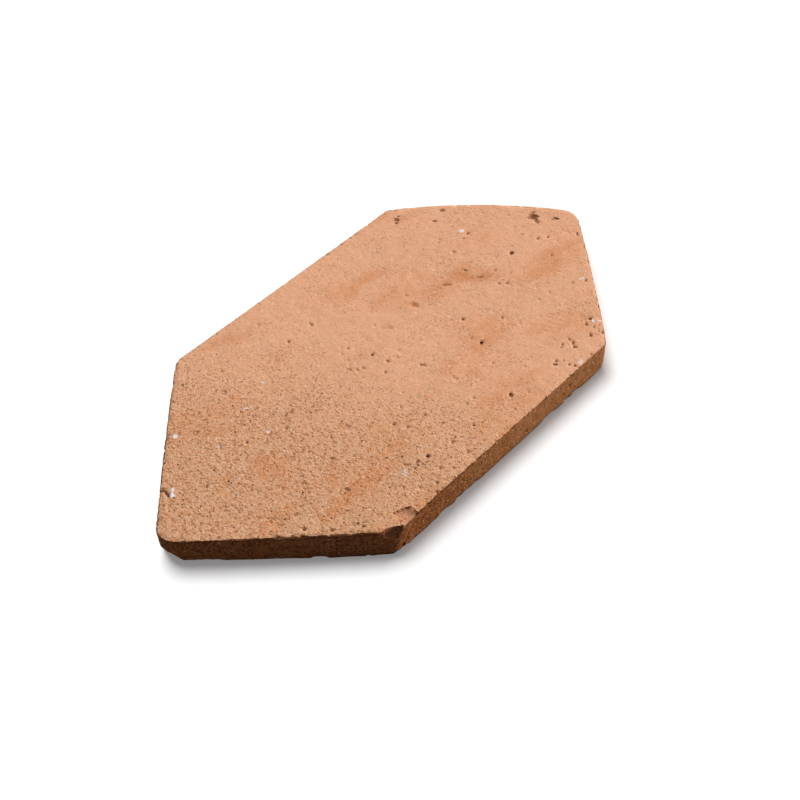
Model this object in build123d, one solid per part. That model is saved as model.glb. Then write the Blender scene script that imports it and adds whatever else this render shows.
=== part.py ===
from build123d import *
from math import radians, sin
import os

# A hand-pressed terracotta paving tile in the long hexagon form, which is also called a picket.
# It was pressed, dried and fired as one piece, so the whole tile is one solid.
# The tile lies face up: X runs along its length, Y across it, and Z up.
# The origin is the centre of the underside. All sizes are in millimetres.
# Corners and sides are named as seen from above: left and right are -X and +X, front and back -Y and +Y.

# Body
WIDTH = 150.0
FLANK_LENGTH = 151.0
LEFT_POINT_LENGTH = 75.0
LEFT_TIP_SHIFT = -0.7
RIGHT_POINT_LENGTH = 68.0
RIGHT_TIP_SHIFT = -3.0
THICKNESS = 18.0

# Corner radii. Every corner of a hand-made tile wears differently.
CORNER_RADII = {
    "left_tip": 9.0,
    "left_front": 6.0,
    "right_front": 8.0,
    "right_tip": 11.0,
    "right_back": 6.0,
    "left_back": 8.0,
}

# How far the middle of each side bows out past a straight line. The two flanks are straight.
SIDE_BOWS = {
    "left_front": 0.7,
    "front": 0.0,
    "right_front": 0.7,
    "right_back": 5.0,
    "back": 0.0,
    "left_back": 0.5,
}

# Edges: the face has a lightly rounded arris, and the underside a small bevel.
FACE_ARRIS_RADIUS = 0.9
UNDERSIDE_BEVEL = 0.7

# The foot of the left tip has broken away, in a shell-shaped break.
TIP_BREAK_DEPTH = 4.2
TIP_BREAK_RADIUS = 50.0
TIP_BREAK_OUTWARD = (-0.9, -0.15, -0.42)

# The left front shoulder has lost a bite of its upright edge, and a thin flake of the face beside it.
# The flake starts this far along the front flank from the sharp corner, and its bed dips outwards.
BITE_DEPTH = 2.7
BITE_RADIUS = 13.0
BITE_OUTWARD = (-0.55, -0.83, 0.1)
FLAKE_START = 4.6
FLAKE_LENGTH = 9.8
FLAKE_REACH = 9.0
FLAKE_SKEW = 0.8
FLAKE_TAPER = 3.7
FLAKE_DEPTH = 0.7
FLAKE_DIP_DEGREES = 4.0

# Shallow shell-shaped chips along the lower arris: (side, share of its length, width, depth).
LOWER_CHIPS = [
    ("left_front", 0.13, 28.0, 2.1),
    ("left_front", 0.36, 100.0, 1.5),
    ("left_front", 0.49, 10.0, 1.8),
    ("left_front", 0.67, 10.0, 1.8),
    ("front", 0.02, 12.0, 1.5),
    ("front", 0.21, 14.0, 1.1),
    ("front", 0.71, 15.0, 1.4),
    ("right_front", 0.02, 13.0, 1.8),
    ("right_front", 0.35, 18.0, 1.6),
    ("right_back", 0.45, 21.0, 1.7),
    ("back", 0.30, 19.0, 1.5),
    ("back", 0.70, 27.0, 1.8),
    ("left_back", 0.50, 16.0, 1.7),
]

# The largest pits in the face, where straw burnt out or a grain of lime popped:
# (share of half the length, share of half the width, length, width, depth, turn in degrees).
FACE_PITS = [
    (0.883, 0.15, 5.6, 4.6, 1.5, 135.0),
    (0.878, 0.09, 5.0, 2.0, 0.9, 100.0),
    (0.925, 0.02, 4.2, 1.8, 1.2, 135.0),
    (0.674, 0.02, 2.2, 2.0, 1.6, 0.0),
    (0.535, 0.33, 4.4, 3.0, 0.9, 60.0),
    (0.650, 0.36, 7.5, 1.6, 0.9, 20.0),
    (0.240, 0.18, 6.0, 4.0, 0.8, 95.0),
    (0.100, 0.16, 5.5, 2.8, 0.7, 100.0),
    (0.685, 0.69, 4.0, 2.6, 1.1, 70.0),
    (0.525, 0.87, 4.6, 3.0, 1.2, 50.0),
    (-0.225, -0.77, 3.4, 1.8, 1.4, 160.0),
    (-0.315, -0.23, 5.0, 4.0, 0.7, 80.0),
    (-0.515, 0.51, 3.6, 2.0, 1.0, 120.0),
]

HALF_FLANK = FLANK_LENGTH / 2
HALF_WIDTH = WIDTH / 2

# The outline's sharp corners, anticlockwise, before they are rounded.
SHARP_CORNERS = {
    "left_tip": Vector(-HALF_FLANK - LEFT_POINT_LENGTH, LEFT_TIP_SHIFT),
    "left_front": Vector(-HALF_FLANK, -HALF_WIDTH),
    "right_front": Vector(HALF_FLANK, -HALF_WIDTH),
    "right_tip": Vector(HALF_FLANK + RIGHT_POINT_LENGTH, RIGHT_TIP_SHIFT),
    "right_back": Vector(HALF_FLANK, HALF_WIDTH),
    "left_back": Vector(-HALF_FLANK, HALF_WIDTH),
}


def outline_sides():
    """The six sides as edges between sharp corners, each a line or an arc that bows outwards."""
    corners = list(SHARP_CORNERS.values())
    sides = {}
    for index, (name, bow) in enumerate(SIDE_BOWS.items()):
        start, end = corners[index], corners[(index + 1) % len(corners)]
        along = (end - start).normalized()
        outward = Vector(along.Y, -along.X)
        middle = (start + end) / 2 + outward * bow
        sides[name] = ThreePointArc(start, middle, end) if bow else Line(start, end)
    return sides


def rounded_outline(sides):
    """The tile seen from above, with each corner rounded by its own radius."""
    outline = make_face(list(sides.values()))
    for name, radius in CORNER_RADII.items():
        corner = outline.vertices().sort_by_distance(SHARP_CORNERS[name])[0]
        outline = fillet(corner, radius)
    return outline


def pressed_slab(outline):
    """The slab with its rounded upper arris and its bevelled lower one."""
    slab = extrude(outline, THICKNESS)
    slab = fillet(slab.faces().sort_by(Axis.Z)[-1].edges(), FACE_ARRIS_RADIUS)
    return chamfer(slab.faces().sort_by(Axis.Z)[0].edges(), UNDERSIDE_BEVEL)


def rounded_corner(name):
    """The middle of a rounded corner, seen from above, taking its two sides as straight."""
    names = list(SHARP_CORNERS)
    index = names.index(name)
    corner = SHARP_CORNERS[name]
    before = (SHARP_CORNERS[names[index - 1]] - corner).normalized()
    after = (SHARP_CORNERS[names[(index + 1) % len(names)]] - corner).normalized()
    half_angle = radians(before.get_angle(after) / 2)
    setback = CORNER_RADII[name] * (1 / sin(half_angle) - 1)
    return corner + (before + after).normalized() * setback


def shell_break(at, outward, depth, radius):
    """The ball that takes a shell-shaped break of this depth out of the body at a point of its edge."""
    centre = at + outward.normalized() * (radius - depth)
    return Pos(*centre) * Sphere(radius)


def tip_break():
    """The break that took the foot of the left tip."""
    return shell_break(
        rounded_corner("left_tip"), Vector(*TIP_BREAK_OUTWARD), TIP_BREAK_DEPTH, TIP_BREAK_RADIUS
    )


def shoulder_bite():
    """The bite out of the upright edge at the left front shoulder, deepest at the face."""
    at = rounded_corner("left_front") + Vector(0, 0, THICKNESS)
    return shell_break(at, Vector(*BITE_OUTWARD), BITE_DEPTH, BITE_RADIUS)


def flake():
    """The thin flake lost from the face beside the bite: a tapered plate on a bed that dips outwards."""
    start = SHARP_CORNERS["left_front"].X + FLAKE_START
    margin = FLAKE_DEPTH
    plan = Polygon(
        (0, -margin),
        (FLAKE_LENGTH, -margin),
        (FLAKE_LENGTH, FLAKE_REACH - FLAKE_TAPER),
        (FLAKE_SKEW, FLAKE_REACH),
        align=None,
    )
    bed_back = THICKNESS - FLAKE_DEPTH
    bed = Pos(start, -HALF_WIDTH + FLAKE_REACH, bed_back) * Rot(X=FLAKE_DIP_DEGREES)
    return bed * Pos(0, -FLAKE_REACH) * extrude(plan, THICKNESS)


def lower_chip(side, share, width, depth):
    """One shell-shaped chip on the lower arris of a side."""
    along = side % share
    outward = Vector(along.Y, -along.X) + Vector(0, 0, -1)
    radius = (width**2 / 4 + depth**2) / (2 * depth)
    return shell_break(side @ share, outward, depth, radius)


def face_pit(along, across, length, width, depth, turn, half_length):
    """One pit: the lower half of an egg that lies in the plane of the face."""
    egg = scale(Sphere(1), by=(length / 2, width / 2, depth))
    return Pos(along * half_length, across * HALF_WIDTH, THICKNESS) * Rot(Z=turn) * egg


sides = outline_sides()
outline = rounded_outline(sides)
extent = outline.bounding_box()
half_length = extent.size.X / 2
to_centre = Pos(-extent.center().X, -extent.center().Y)

tile = pressed_slab(outline)
tile -= tip_break()
tile -= shoulder_bite()
tile -= flake()
for side_name, share, width, depth in LOWER_CHIPS:
    tile -= lower_chip(sides[side_name], share, width, depth)
tile = to_centre * tile
for pit in FACE_PITS:
    tile -= face_pit(*pit, half_length)

os.makedirs("parts", exist_ok=True)
export_step(tile, "parts/tile.step")
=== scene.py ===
from itertools import product
from math import cos, pi, radians, sin

import bpy
import numpy as np
from bpy.props import FloatProperty, FloatVectorProperty, IntProperty, PointerProperty
from bpy.types import Operator, Panel, PropertyGroup
from mathutils import Matrix, Vector


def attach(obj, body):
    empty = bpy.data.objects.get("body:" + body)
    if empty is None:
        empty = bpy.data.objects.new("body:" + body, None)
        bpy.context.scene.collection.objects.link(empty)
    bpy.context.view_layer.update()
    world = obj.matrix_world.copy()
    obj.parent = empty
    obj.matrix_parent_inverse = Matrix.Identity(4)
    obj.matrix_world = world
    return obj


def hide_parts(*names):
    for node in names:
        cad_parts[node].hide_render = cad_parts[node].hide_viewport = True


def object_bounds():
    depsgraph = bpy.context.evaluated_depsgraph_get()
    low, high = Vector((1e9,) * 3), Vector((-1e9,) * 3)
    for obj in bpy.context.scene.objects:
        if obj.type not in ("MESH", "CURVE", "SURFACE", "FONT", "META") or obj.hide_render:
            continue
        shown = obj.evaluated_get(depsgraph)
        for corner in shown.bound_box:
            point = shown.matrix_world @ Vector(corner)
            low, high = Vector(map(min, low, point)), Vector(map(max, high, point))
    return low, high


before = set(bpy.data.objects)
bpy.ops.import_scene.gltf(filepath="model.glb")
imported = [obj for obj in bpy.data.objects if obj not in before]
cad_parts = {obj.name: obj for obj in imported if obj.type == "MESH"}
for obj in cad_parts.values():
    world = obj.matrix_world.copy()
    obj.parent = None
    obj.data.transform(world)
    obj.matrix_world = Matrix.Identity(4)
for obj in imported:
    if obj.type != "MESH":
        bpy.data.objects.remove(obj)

bl_info = {
    "name": "Terracotta Tile",
    "version": (1, 0, 0),
    "blender": (4, 5, 0),
    "location": "View3D > Sidebar > Terracotta",
    "description": "Gives a hand-pressed terracotta tile its worn relief and fired clay, and lights it",
    "category": "Object",
}

# The clay is worked out in millimetres, and turned into metres where it enters a mesh.
MM = 0.001
CAD_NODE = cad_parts["tile"]
CAD_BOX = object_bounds()
LOWEST, HIGHEST = (np.array(corner) / MM for corner in CAD_BOX)
THICKNESS = HIGHEST[2]

# Cells of the face along the tile and across it. One cell of the underside lies under three by three.
FACE_CELLS = (321, 204)
UNDERSIDE_BLOCK = 3

# Rings over the arris, down the side and round the lower edge, and how far inside them the flat parts start.
ARRIS_RINGS = 6
SIDE_RINGS = 11
BEVEL_RINGS = 5
FACE_MARGIN = 1.3
UNDERSIDE_MARGIN = 2.4

# Marks that the potter and the kiln left on the face, as seen in the photo, beside the pits of the CAD node.
# Each hollow is (x, y, length, width, depth, turn). Turns are in degrees and the rest in millimetres.
HOLLOWS = [
    (97, 1.5, 2.8, 2.5, 1.6, 0), (133.2, 1.5, 4.6, 2.2, 1.1, 135), (127.6, 11.6, 6, 3.8, 0.8, 100),
    (125.6, 7.6, 5, 2.8, 0.8, 60), (129.8, 13.6, 2.8, 1.5, 0.6, 150), (124.4, 12.6, 2.2, 1.4, 0.5, 60),
    (119.6, -4.6, 2, 1.5, 1, 0), (115.1, -1.4, 2, 1.5, 0.7, 0), (112.1, 6.7, 2.4, 1.3, 0.5, 100),
    (120.9, -10.3, 1.8, 1.4, 0.6, 0), (131.9, -15, 2.4, 1.6, 0.8, 60), (109.6, -15.1, 1.8, 1.4, 0.5, 0),
    (106.6, -39.9, 1.8, 1.4, 0.8, 0), (100.9, -36.4, 2.6, 1.4, 0.5, 130), (75.1, -8.2, 3.2, 1.3, 0.6, 135),
    (78, -11.4, 3, 1.3, 0.6, 135), (113.6, 2.4, 2.2, 1.4, 0.4, 140), (75.6, 65.2, 2.8, 1.6, 0.8, 140),
    (78.4, 66.4, 1.8, 1.5, 0.7, 0), (73.4, 63.4, 1.8, 1.4, 0.6, 0), (-9.5, 17.6, 2, 1.6, 0.7, 20),
    (-4.5, 5.8, 2.2, 1.6, 0.8, 0), (6.5, -16.8, 2, 1.6, 0.7, 40), (43.5, -11.4, 2.4, 1.6, 0.8, 130),
    (37.5, -28.8, 2, 1.7, 1.3, 0), (57.5, -25.4, 2, 1.6, 0.7, 60), (21, -61.8, 3, 2, 1, 80),
    (-32.6, -57.2, 2.8, 1.8, 1.4, 30), (50.5, -64.8, 3, 1.4, 1, 140), (52.4, -63.7, 2.6, 1.4, 0.7, 140),
    (55.1, -66.4, 1.4, 1.4, 0.7, 0), (63.3, -59.2, 1.8, 1.2, 0.7, 30), (61.4, -59.9, 2.2, 1.1, 0.7, 20),
    (67.6, -62.4, 3, 1.3, 0.8, 20), (65.8, -64.7, 2.6, 1.5, 0.8, 150), (68, -59.9, 2.6, 1.3, 0.6, 90),
    (77.5, -65.8, 2, 1.5, 0.9, 60), (81.8, -59.8, 1.8, 1.5, 0.8, 0), (85.9, -64.5, 1.6, 1.4, 0.7, 0),
    (82.9, -63.5, 2.4, 1.3, 0.5, 30), (83.2, -68.8, 1.6, 1.5, 1, 0), (86.3, -58.6, 2.6, 1.4, 0.9, 140),
    (56.2, -72.3, 1.8, 1.4, 0.7, 0), (55.1, -70, 1.6, 1.4, 0.6, 0), (67.2, -73.6, 2, 1.6, 1, 0),
    (-66.9, -72.6, 4.4, 1.6, 1.1, 84), (-26, 42.8, 2.4, 1.8, 0.6, 30), (-10.5, 43.2, 4, 2, 0.4, 80),
    (56.5, 10.8, 5, 1.8, 0.3, -45), (70.7, 11.3, 3, 1.3, 0.6, 130), (71.6, 2.4, 3.4, 1.4, 0.7, 140),
    (81.1, -0.4, 3, 1.2, 0.6, 130), (55, 12.1, 3, 1.4, 0.6, 120), (84.6, -7.7, 2.8, 1.2, 0.6, 160),
    (93.3, 29, 2.6, 1.4, 0.9, 170), (88.9, 28, 1.8, 1.1, 0.6, 170), (-41.5, -57.3, 1.6, 1.3, 0.7, 0),
    (-39.2, -57.2, 1.5, 1.3, 0.7, 0), (-37.2, -58.1, 1.6, 1.3, 0.7, 0), (-40.7, -70.3, 2, 1.5, 0.9, 45),
    (-44.4, -73.6, 2.4, 1.6, 1, 45), (-43, -52.5, 3, 1.2, 0.6, 90), (-13.6, 2.6, 2.6, 1.2, 0.6, 120),
    (-16.4, 4.4, 2, 1.2, 0.6, 120), (-18.8, 6.8, 2.2, 1.2, 0.6, 120), (-14.9, 12, 2, 1.2, 0.6, 100),
    (7.6, -17.8, 2.6, 1.2, 0.7, 120), (97.5, 52.2, 4, 1.8, 0.8, 150), (88.5, 49.2, 3.6, 1.8, 0.8, 150),
    (-95.5, -35.8, 3, 2, 0.6, 0), (-70.5, -42.8, 4, 2, 0.7, 110), (-2.5, -2.8, 3.2, 1.8, 0.6, 100),
    (-8.5, -7.3, 2.4, 1.6, 0.6, 60), (2.5, -4.8, 2, 1.4, 0.6, 0),
]

# The crack that runs in from the left back side to a grain of lime.
CRACK = [(-128.4, 19.9), (-126.9, 18.9), (-126.2, 17.2), (-126.9, 15.6), (-127.0, 13.9)]

# Grains of lime that stand in the face or burst through it: (x, y, length, width, turn, whiteness).
LIME_GRAINS = [
    (92.5, 32.8, 3.8, 2.4, 150, 0.8), (-103, 38.2, 3.4, 2.4, 60, 0.95), (-123.5, 15.1, 2.6, 1.8, 20, 1),
    (-125.5, 13, 3.2, 2.4, 80, 1), (-69, 26.2, 4.2, 1.5, 140, 0.9), (-65.5, 33.6, 1.5, 1.2, 0, 0.5),
    (-53, 32.8, 3, 1.4, 130, 0.8), (-72, 8.2, 3.6, 1.4, 120, 0.9), (-93.5, 18.2, 1.6, 1.4, 0, 0.7),
    (-91, 22.8, 1.6, 1.4, 0, 0.7), (-21, 68.6, 1.8, 1.4, 0, 0.7), (-99, -2.4, 1.5, 0.9, 0, 0.6),
    (-46.2, -55.9, 4.6, 3, 40, 0.3), (106.5, -37.8, 4.6, 1.6, 150, 0.6), (86.2, -60.4, 2.4, 1.8, 60, 0.9),
    (87.9, -62.6, 3.6, 1.1, 115, 0.9), (60.2, -73, 4.2, 2.4, 20, 0.55),
]

# Brown stains that soaked into the face: (x, y, length, width, turn, strength).
STAINS = [
    (71, 5, 34, 13, -47, 0.95), (34, 14.5, 7, 4.5, 100, 0.9), (12.6, 13.5, 6, 3, 100, 0.6),
    (33, 27, 40, 9, -40, 0.3), (79, 63, 16, 7, -45, 0.6), (66, -45, 22, 9, -30, 0.5),
    (-44, 66, 34, 10, -20, 0.45), (-66, -28, 12, 6, 30, 0.5), (-6, 8, 18, 6, -20, 0.3),
]

# Touches of green growth, in the same terms.
MOSS = [
    (-2.3, -30.1, 3.4, 2, 140, 1), (-8.7, -30, 3.8, 2, 120, 0.6),
]

# A stain or growth is at its full strength up to this share of its reach, and gone at the other.
SPOT_CORE, SPOT_RIM = 0.2, 1.2

# The oval that a wet finger wiped, the depth of its ripples, and their radians a millimetre along x and y.
WIPED = (77.0, -45.0, 46.0, 16.0, 12.0)
WIPED_CORE, WIPED_RIM = 0.3, 1.0
RIPPLE_DEPTH = 0.16
RIPPLE_TURN = (1.9, 0.7)

# How far along this way the face is smoothest and coarsest, the least it is coarse and by how much that
# rises, and how far patches swing it.
COARSE_WAY = (1.0, 0.6)
SMOOTHEST, COARSEST = 25.0, -110.0
COARSE_LEAST, COARSE_RISE = 0.12, 0.85
PATCH_SWING = 0.15

# Noises of the relief: (width of a lump, what it adds to the tile's own seed, layers).
RELIEF = {
    "patches": (45, 0, 3), "waves": (75, 10, 2), "lumps": (9, 20, 3), "grain": (2.4, 30, 2),
    "nicks": (2.6, 50, 3), "crumbs": (1.6, 55, 1), "scallops": (13, 59, 3),
}

# How far apart the noise seeds of two tiles are, and what the bubbles add to theirs.
SEED_STEP, VOID_SEED = 100, 40

# Depths that no property sets, and how far the wear of each edge and the darker foot reach.
CRUMB_DEPTH = 0.14
CRACK_DEPTH = 0.7
BUBBLE_LIMIT = 1.6
UPPER_REACH, LOWER_REACH, FOOT_REACH = 1.5, 3.2, 1.1

# How rough the smoothest clay is, and what coarse clay and an upright side add. The same for its bubbles.
ROUGH_LEAST, ROUGH_COARSE, ROUGH_SIDE = 0.4, 0.6, 1.2
OPEN_LEAST, OPEN_COARSE, OPEN_SIDE = 0.35, 0.4, 0.4

# How far a noise of this width and seed moves a hollow's rim, and how much of a CAD pit crumbs may fill.
RAGGED_SWING, RAGGED_WIDTH, RAGGED_SEED = 0.3, 1.7, 3
PIT_FILL = 0.7

# What ramp rises over: the noise that bites each edge, how coarse the clay is, the distance from the crack,
# the upward part of a normal twice, how far the seating moved a point, the distance from the broken shoulder,
# how deep the wear is, and the height up the side.
NICK_BAND = (0.05, 0.7)
SCALLOP_BAND = (0.0, 0.8)
OPEN_BAND = (0.1, 0.7)
CRACK_BAND = (0.8, 0.2)
FACE_BAND = (0.6, 0.95)
LEVEL_BAND = (0.3, 0.9)
BREAK_BAND = (0.1, 0.6)
SHOULDER_BAND = (22.0, 16.0)
WORN_BAND = (0.15, 0.6)
UPPER_BAND = (9.0, 14.0)

# A distance that means nowhere near.
FAR = 5.0

# Large odd numbers that scatter the bits of a whole number.
SCATTER = (2654435761, 2246822519, 3266489917)

# Noises of the clay: (width of a lump in millimetres, seed, layers, roughness, squeeze along each axis).
NOISES = {
    "patches": (26, 1, 4, 0.6), "streaks": (30, 2, 4, 0.6, (0.45, 1, 1)), "sides": (7, 4, 4, 0.65),
    "speckle": (0.8, 5, 1, 0.6, (1, 0.6, 1)), "blotches": (2.6, 6, 2, 0.5), "lime_rim": (1.4, 9, 2, 0.5),
    "coarse_grain": (1.7, 11, 2, 0.6), "fine_grain": (0.6, 12, 1, 0.6),
    "dashes": (0.8, 13, 1, 0.5, (1, 0.5, 1)), "crumbled": (1.5, 14, 3, 0.65),
    "arris_rim": (1.7, 15, 2, 0.6), "crack_rim": (1, 16, 2, 0.5), "mottles": (6, 17, 2, 0.6),
    "clusters": (15, 18, 3, 0.6), "lumps": (6, 19, 3, 0.6), "pit_rim": (0.9, 20, 2, 0.5),
    "soaked": (5, 24, 4, 0.65, (0.6, 1, 1)), "grown": (1.2, 25, 2, 0.6),
}

# What a noise or a field becomes in the material: (low, high, result below, result above).
EASES = {
    "patches": (0.3, 0.7, -0.12, 0.12), "streaks": (0.5, 0.68, 0, 0.75), "sides": (0.25, 0.7, 0.75, 1),
    "darker_coarse_sides": (0.5, 1, 0, 0.35), "mottles": (0.52, 0.72, 0, 0.25), "soaked": (0.35, 0.6, 0.3, 0.8),
    "grown": (0.4, 0.6, 0.4, 1), "speckled": (0, 1, 0.3, 0.95), "gritty": (0, 1, 0.2, 0.55),
    "bare": (0, 1, 0.75, 0.15), "shallow": (0.1, 0.7, 0, 0.45), "deep": (0.7, 1.5, 0, 0.6),
    "lime": (-0.1, 0.35), "grainy": (0, 1, 0.25, 1.1), "open": (0, 1, 0.25, 1), "crumbled": (0.5, 0.66),
    "crumbly": (0.4, 0.95, 0.35, 0.9), "nicks": (0.15, 0.4, 0, 0.85), "pit": (-0.05, 0.3),
    "pit_shade": (0.6, 1.4, 0.35, 1), "crack": (0.6, 0.3), "dashes": (0.6, 0.66),
    "sparse": (0.15, 0.7, 0.05, 0.85), "clusters": (0.4, 0.6), "dented": (0.1, 0.6, 0.4, 0.85),
}

# How far a noise swings what it moves: a rim in millimetres, or the clay's brightness.
SWINGS = {
    "arris_rim": 3.6, "pit_rim": 0.9, "lime_rim": 1.5, "crack_rim": 0.5, "speckle": 1, "blotches": 0.1
}

# Round grains and pores: (spacing, largest radius, share of cells with one, seed, soft edge, raggedness).
GRAINS = {
    "grit": (2.2, 0.8, 0.5, 7, 0.25, 0.8), "quartz": (2.8, 0.8, 0.4, 8, 0.25, 0.6),
    "small_pores": (1.9, 0.55, 0.4, 21, 0.2, 0.9), "large_pores": (5, 0.85, 0.3, 22, 0.2, 1.4),
}

# How strongly some marks show, among them the painted shade of dents and pores, and how high or deep the
# finest relief is, in millimetres.
STRENGTHS = {"foot": 0.8, "dents": 0.65, "quartz": 0.5, "worn": 0.5, "pores": 0.8}
HEIGHTS = {"coarse_grain": 0.2, "fine_grain": 0.36, "lumps": 0.45, "dents": 0.32, "pores": 0.6}

# What an upright side adds to speckle and grain, and coarse clay to the nicks, and the peak of a cluster.
SPECKLE_SIDE, GRAIN_SIDE, NICKS_COARSE, CLUSTER_PEAK = 0.5, 0.6, 0.6, 1.1

# How much a speck moves red, green and blue. A dark one is browner, because blue moves most.
SPECKLE_GAINS = {"Red": 0.6, "Green": 1.3, "Blue": 2.1}

# How much of a mirror the matt clay is.
GLOSS = 0.05

# How far each seed moves a noise and a pattern of grains, in metres, and the width of the noise that makes a
# grain ragged, as a share of the largest radius.
NOISE_STEP = (0.37, 0.73, 0.19)
GRAIN_STEP = (0.29, 0.61, 0.43)
RAGGED_SHARE = 0.8

# The way towards each lamp, and how wide its soft box looks from the tile, in degrees.
LAMPS = {
    "key": ((0.22, 0.57, 0.79), 30.0),
    "side": ((0.88, -0.38, 0.28), 12.0),
    "floor_lamp": ((0.11, 0.36, 0.92), 36.0),
}

# Half the floor's width and the nearest that the camera sees, in metres.
FLOOR_REACH, CLIP_START = 6.0, 0.01


def swatch(red, green, blue):
    """A colour as a swatch book gives it, from 0 to 255, as the linear numbers that a shader takes, by the
    usual curve of screens: a straight foot and a power of 2.4."""
    parts = np.array([red, green, blue]) / 255
    return tuple(np.where(parts > 0.04045, ((parts + 0.055) / 1.055) ** 2.4, parts / 12.92))


def number(default, name, description, **limits):
    """A number property, with its limits and its unit."""
    return FloatProperty(name=name, description=description, default=default, **limits)


def length(default, name, description):
    """A length property, whose default is given in millimetres."""
    return number(default * MM, name, description, min=0, unit="LENGTH", precision=5)


def share(default, name, description):
    """A property that runs from none to all."""
    return number(default, name, description, min=0, max=1, subtype="FACTOR")


def colour(default, name, description):
    """A colour property, whose default is a swatch."""
    return FloatVectorProperty(
        name=name, description=description, default=swatch(*default), size=3, min=0, max=1, subtype="COLOR"
    )


def angle(default, name, description):
    """An angle property, whose default is given in degrees."""
    return number(radians(default), name, description, subtype="ANGLE")


class TileForm(PropertyGroup):
    """How uneven the pressing, the drying and the years have left the body."""

    arris: length(0.9, "Arris", "Radius of the edge round the face")
    arris_wear: length(0.8, "Arris wear", "How deep the bites out of the upper edge go")
    bevel: length(0.7, "Lower edge", "Radius of the edge round the underside")
    bevel_wear: length(1.2, "Lower edge wear", "How deep the bites out of the lower edge go")
    waves: length(0.3, "Waves", "Depth of the slow waves that the potter's hand left")
    lumps: length(0.16, "Lumps", "Depth of the unevenness a finger wide")
    grain: length(0.13, "Grain", "Depth of the sandy grain")
    voids: length(0.95, "Voids", "Radius of the largest air bubble that the surface opens")
    void_spacing: length(3.8, "Void spacing", "Size of the block of clay that holds one bubble")
    seed: IntProperty(name="Seed", description="Another number gives another tile", default=7, min=0)


class FiredClay(PropertyGroup):
    """The colours of the fired clay. Some carry painted shade: the flank and fresh colours in part, the grit
    colour in dents and shallow hollows, and the darkest brown in pores, pits, nicks, the crack and deep
    hollows.
    """

    body: colour((220, 164, 129), "Body", "The smooth part of the face")
    sandy: colour((205, 155, 119), "Sandy", "The coarse part of the face")
    burnt: colour((205, 139, 96), "Burnt", "Deeper orange patches and wiping streaks")
    stain: colour((190, 124, 80), "Stain", "Brown stains that soaked into the face")
    moss: colour((160, 156, 104), "Moss", "Touches of green growth")
    # Partly the sides' own sanded clay and partly painted shade: it makes the upright sides darker than the
    # face.
    flank: colour((164, 103, 55), "Flank", "The rough sides")
    # Darker red-brown along the bottom of the sides, and on the sides where the clay is coarse.
    foot: colour((130, 62, 26), "Foot", "The lower edge, which stood in the kiln")
    # The colour of broken clay, darkened by painted shade for the recessed flake.
    fresh: colour((194, 134, 100), "Fresh", "Where clay has broken away")
    # Partly dark grains that the clay has, and partly painted shade in dents and shallow hollows.
    grit: colour((150, 84, 48), "Grit", "Dark grains and dents")
    quartz: colour((240, 200, 166), "Quartz", "Light grains")
    # Painted shade: this darkest brown stands for the shadow in pores, pits, nicks, the crack and deep
    # hollows.
    pore: colour((76, 36, 15), "Pore", "The floors of pits and pores")
    lime: colour((226, 222, 220), "Lime", "White grains of lime")
    roughness: share(0.92, "Roughness", "How matt the clay is")


class Studio(PropertyGroup):
    """The camera, the lamps and the floor."""

    azimuth: angle(-44.88, "Azimuth", "Way the camera looks: along +Y at 0, and along -X at 90")
    elevation: angle(49.77, "Elevation", "How far above the horizon the camera stands")
    roll: angle(-2.32, "Roll", "How far the camera leans")
    distance: length(568.3, "Distance", "From the camera to the face of the tile")
    lens: number(53.81, "Lens", "Focal length", min=1, unit="CAMERA")
    aim_x: number(-16.7 * MM, "Aim X", "Point looked at", unit="LENGTH")
    aim_y: number(-24.55 * MM, "Aim Y", "Point looked at", unit="LENGTH")
    key: number(2.4, "Key", "Strength of the main lamp on the tile", min=0)
    side: number(4.0, "Side", "Strength of the low lamp on the tile", min=0)
    floor: number(3.35, "Floor", "Strength of the floor's own lamp", min=0)
    fill: share(0.1, "Fill", "Light from all round")
    bounce: share(0.28, "Bounce", "How much light the floor throws back on the tile")
    glow: share(0.2, "Glow", "How far the floor's shadow is lightened")


def hashed(cells, seed):
    """A repeatable random number from 0 to 1 for each row of whole numbers. Each column in turn is
    mixed into an integer by multiplying it and folding its upper bits into the lower ones."""
    first, second, third = SCATTER
    mixed = np.full(len(cells), seed * first % 2**32, np.uint32)
    for column in cells.T:
        mixed = (mixed ^ column.astype(np.int64).astype(np.uint32)) * np.uint32(second)
        mixed ^= mixed >> np.uint32(13)
        mixed *= np.uint32(third)
        mixed ^= mixed >> np.uint32(16)
    return mixed / 2**32


def smooth_noise(points, size, seed):
    """Noise from -1 to 1: a random number at each corner of a lattice of this size, and between the
    corners their mean, weighted along each axis by 6t^5 - 15t^4 + 10t^3."""
    base = np.floor(points / size)
    part = points / size - base
    fade = part**3 * (part * (part * 6 - 15) + 10)
    total = np.zeros(len(points))
    for corner in product((0, 1), repeat=points.shape[1]):
        weight = np.where(corner, fade, 1 - fade).prod(axis=1)
        total += weight * hashed(base + corner, seed)
    return 2 * total - 1


def layered_noise(points, size, seed, layers=3):
    """Smooth noise from about -1 to 1, summed over layers of half the size and strength each."""
    total = sum(smooth_noise(points, size / 2**k, seed + k) / 2**k for k in range(layers))
    return total / (2 - 0.5 ** (layers - 1))


def relief_noise(points, name, seed):
    """The layered noise of this name in the table of the relief, for a tile of this seed."""
    width, more, layers = RELIEF[name]
    return layered_noise(points, width, seed + more, layers)


def ramp(values, low, high):
    """0 below low, 1 above high, and 3t^2 - 2t^3 between them."""
    part = np.clip((values - low) / (high - low), 0, 1)
    return part * part * (3 - 2 * part)


def as_share(swing):
    """A swing from -1 to 1 as a share from 0 to 1."""
    return 0.5 + 0.5 * swing


def mesh_points(mesh):
    """A mesh's points in millimetres, one row for each."""
    points = np.empty(len(mesh.vertices) * 3)
    mesh.vertices.foreach_get("co", points)
    return points.reshape(-1, 3) / MM


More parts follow.
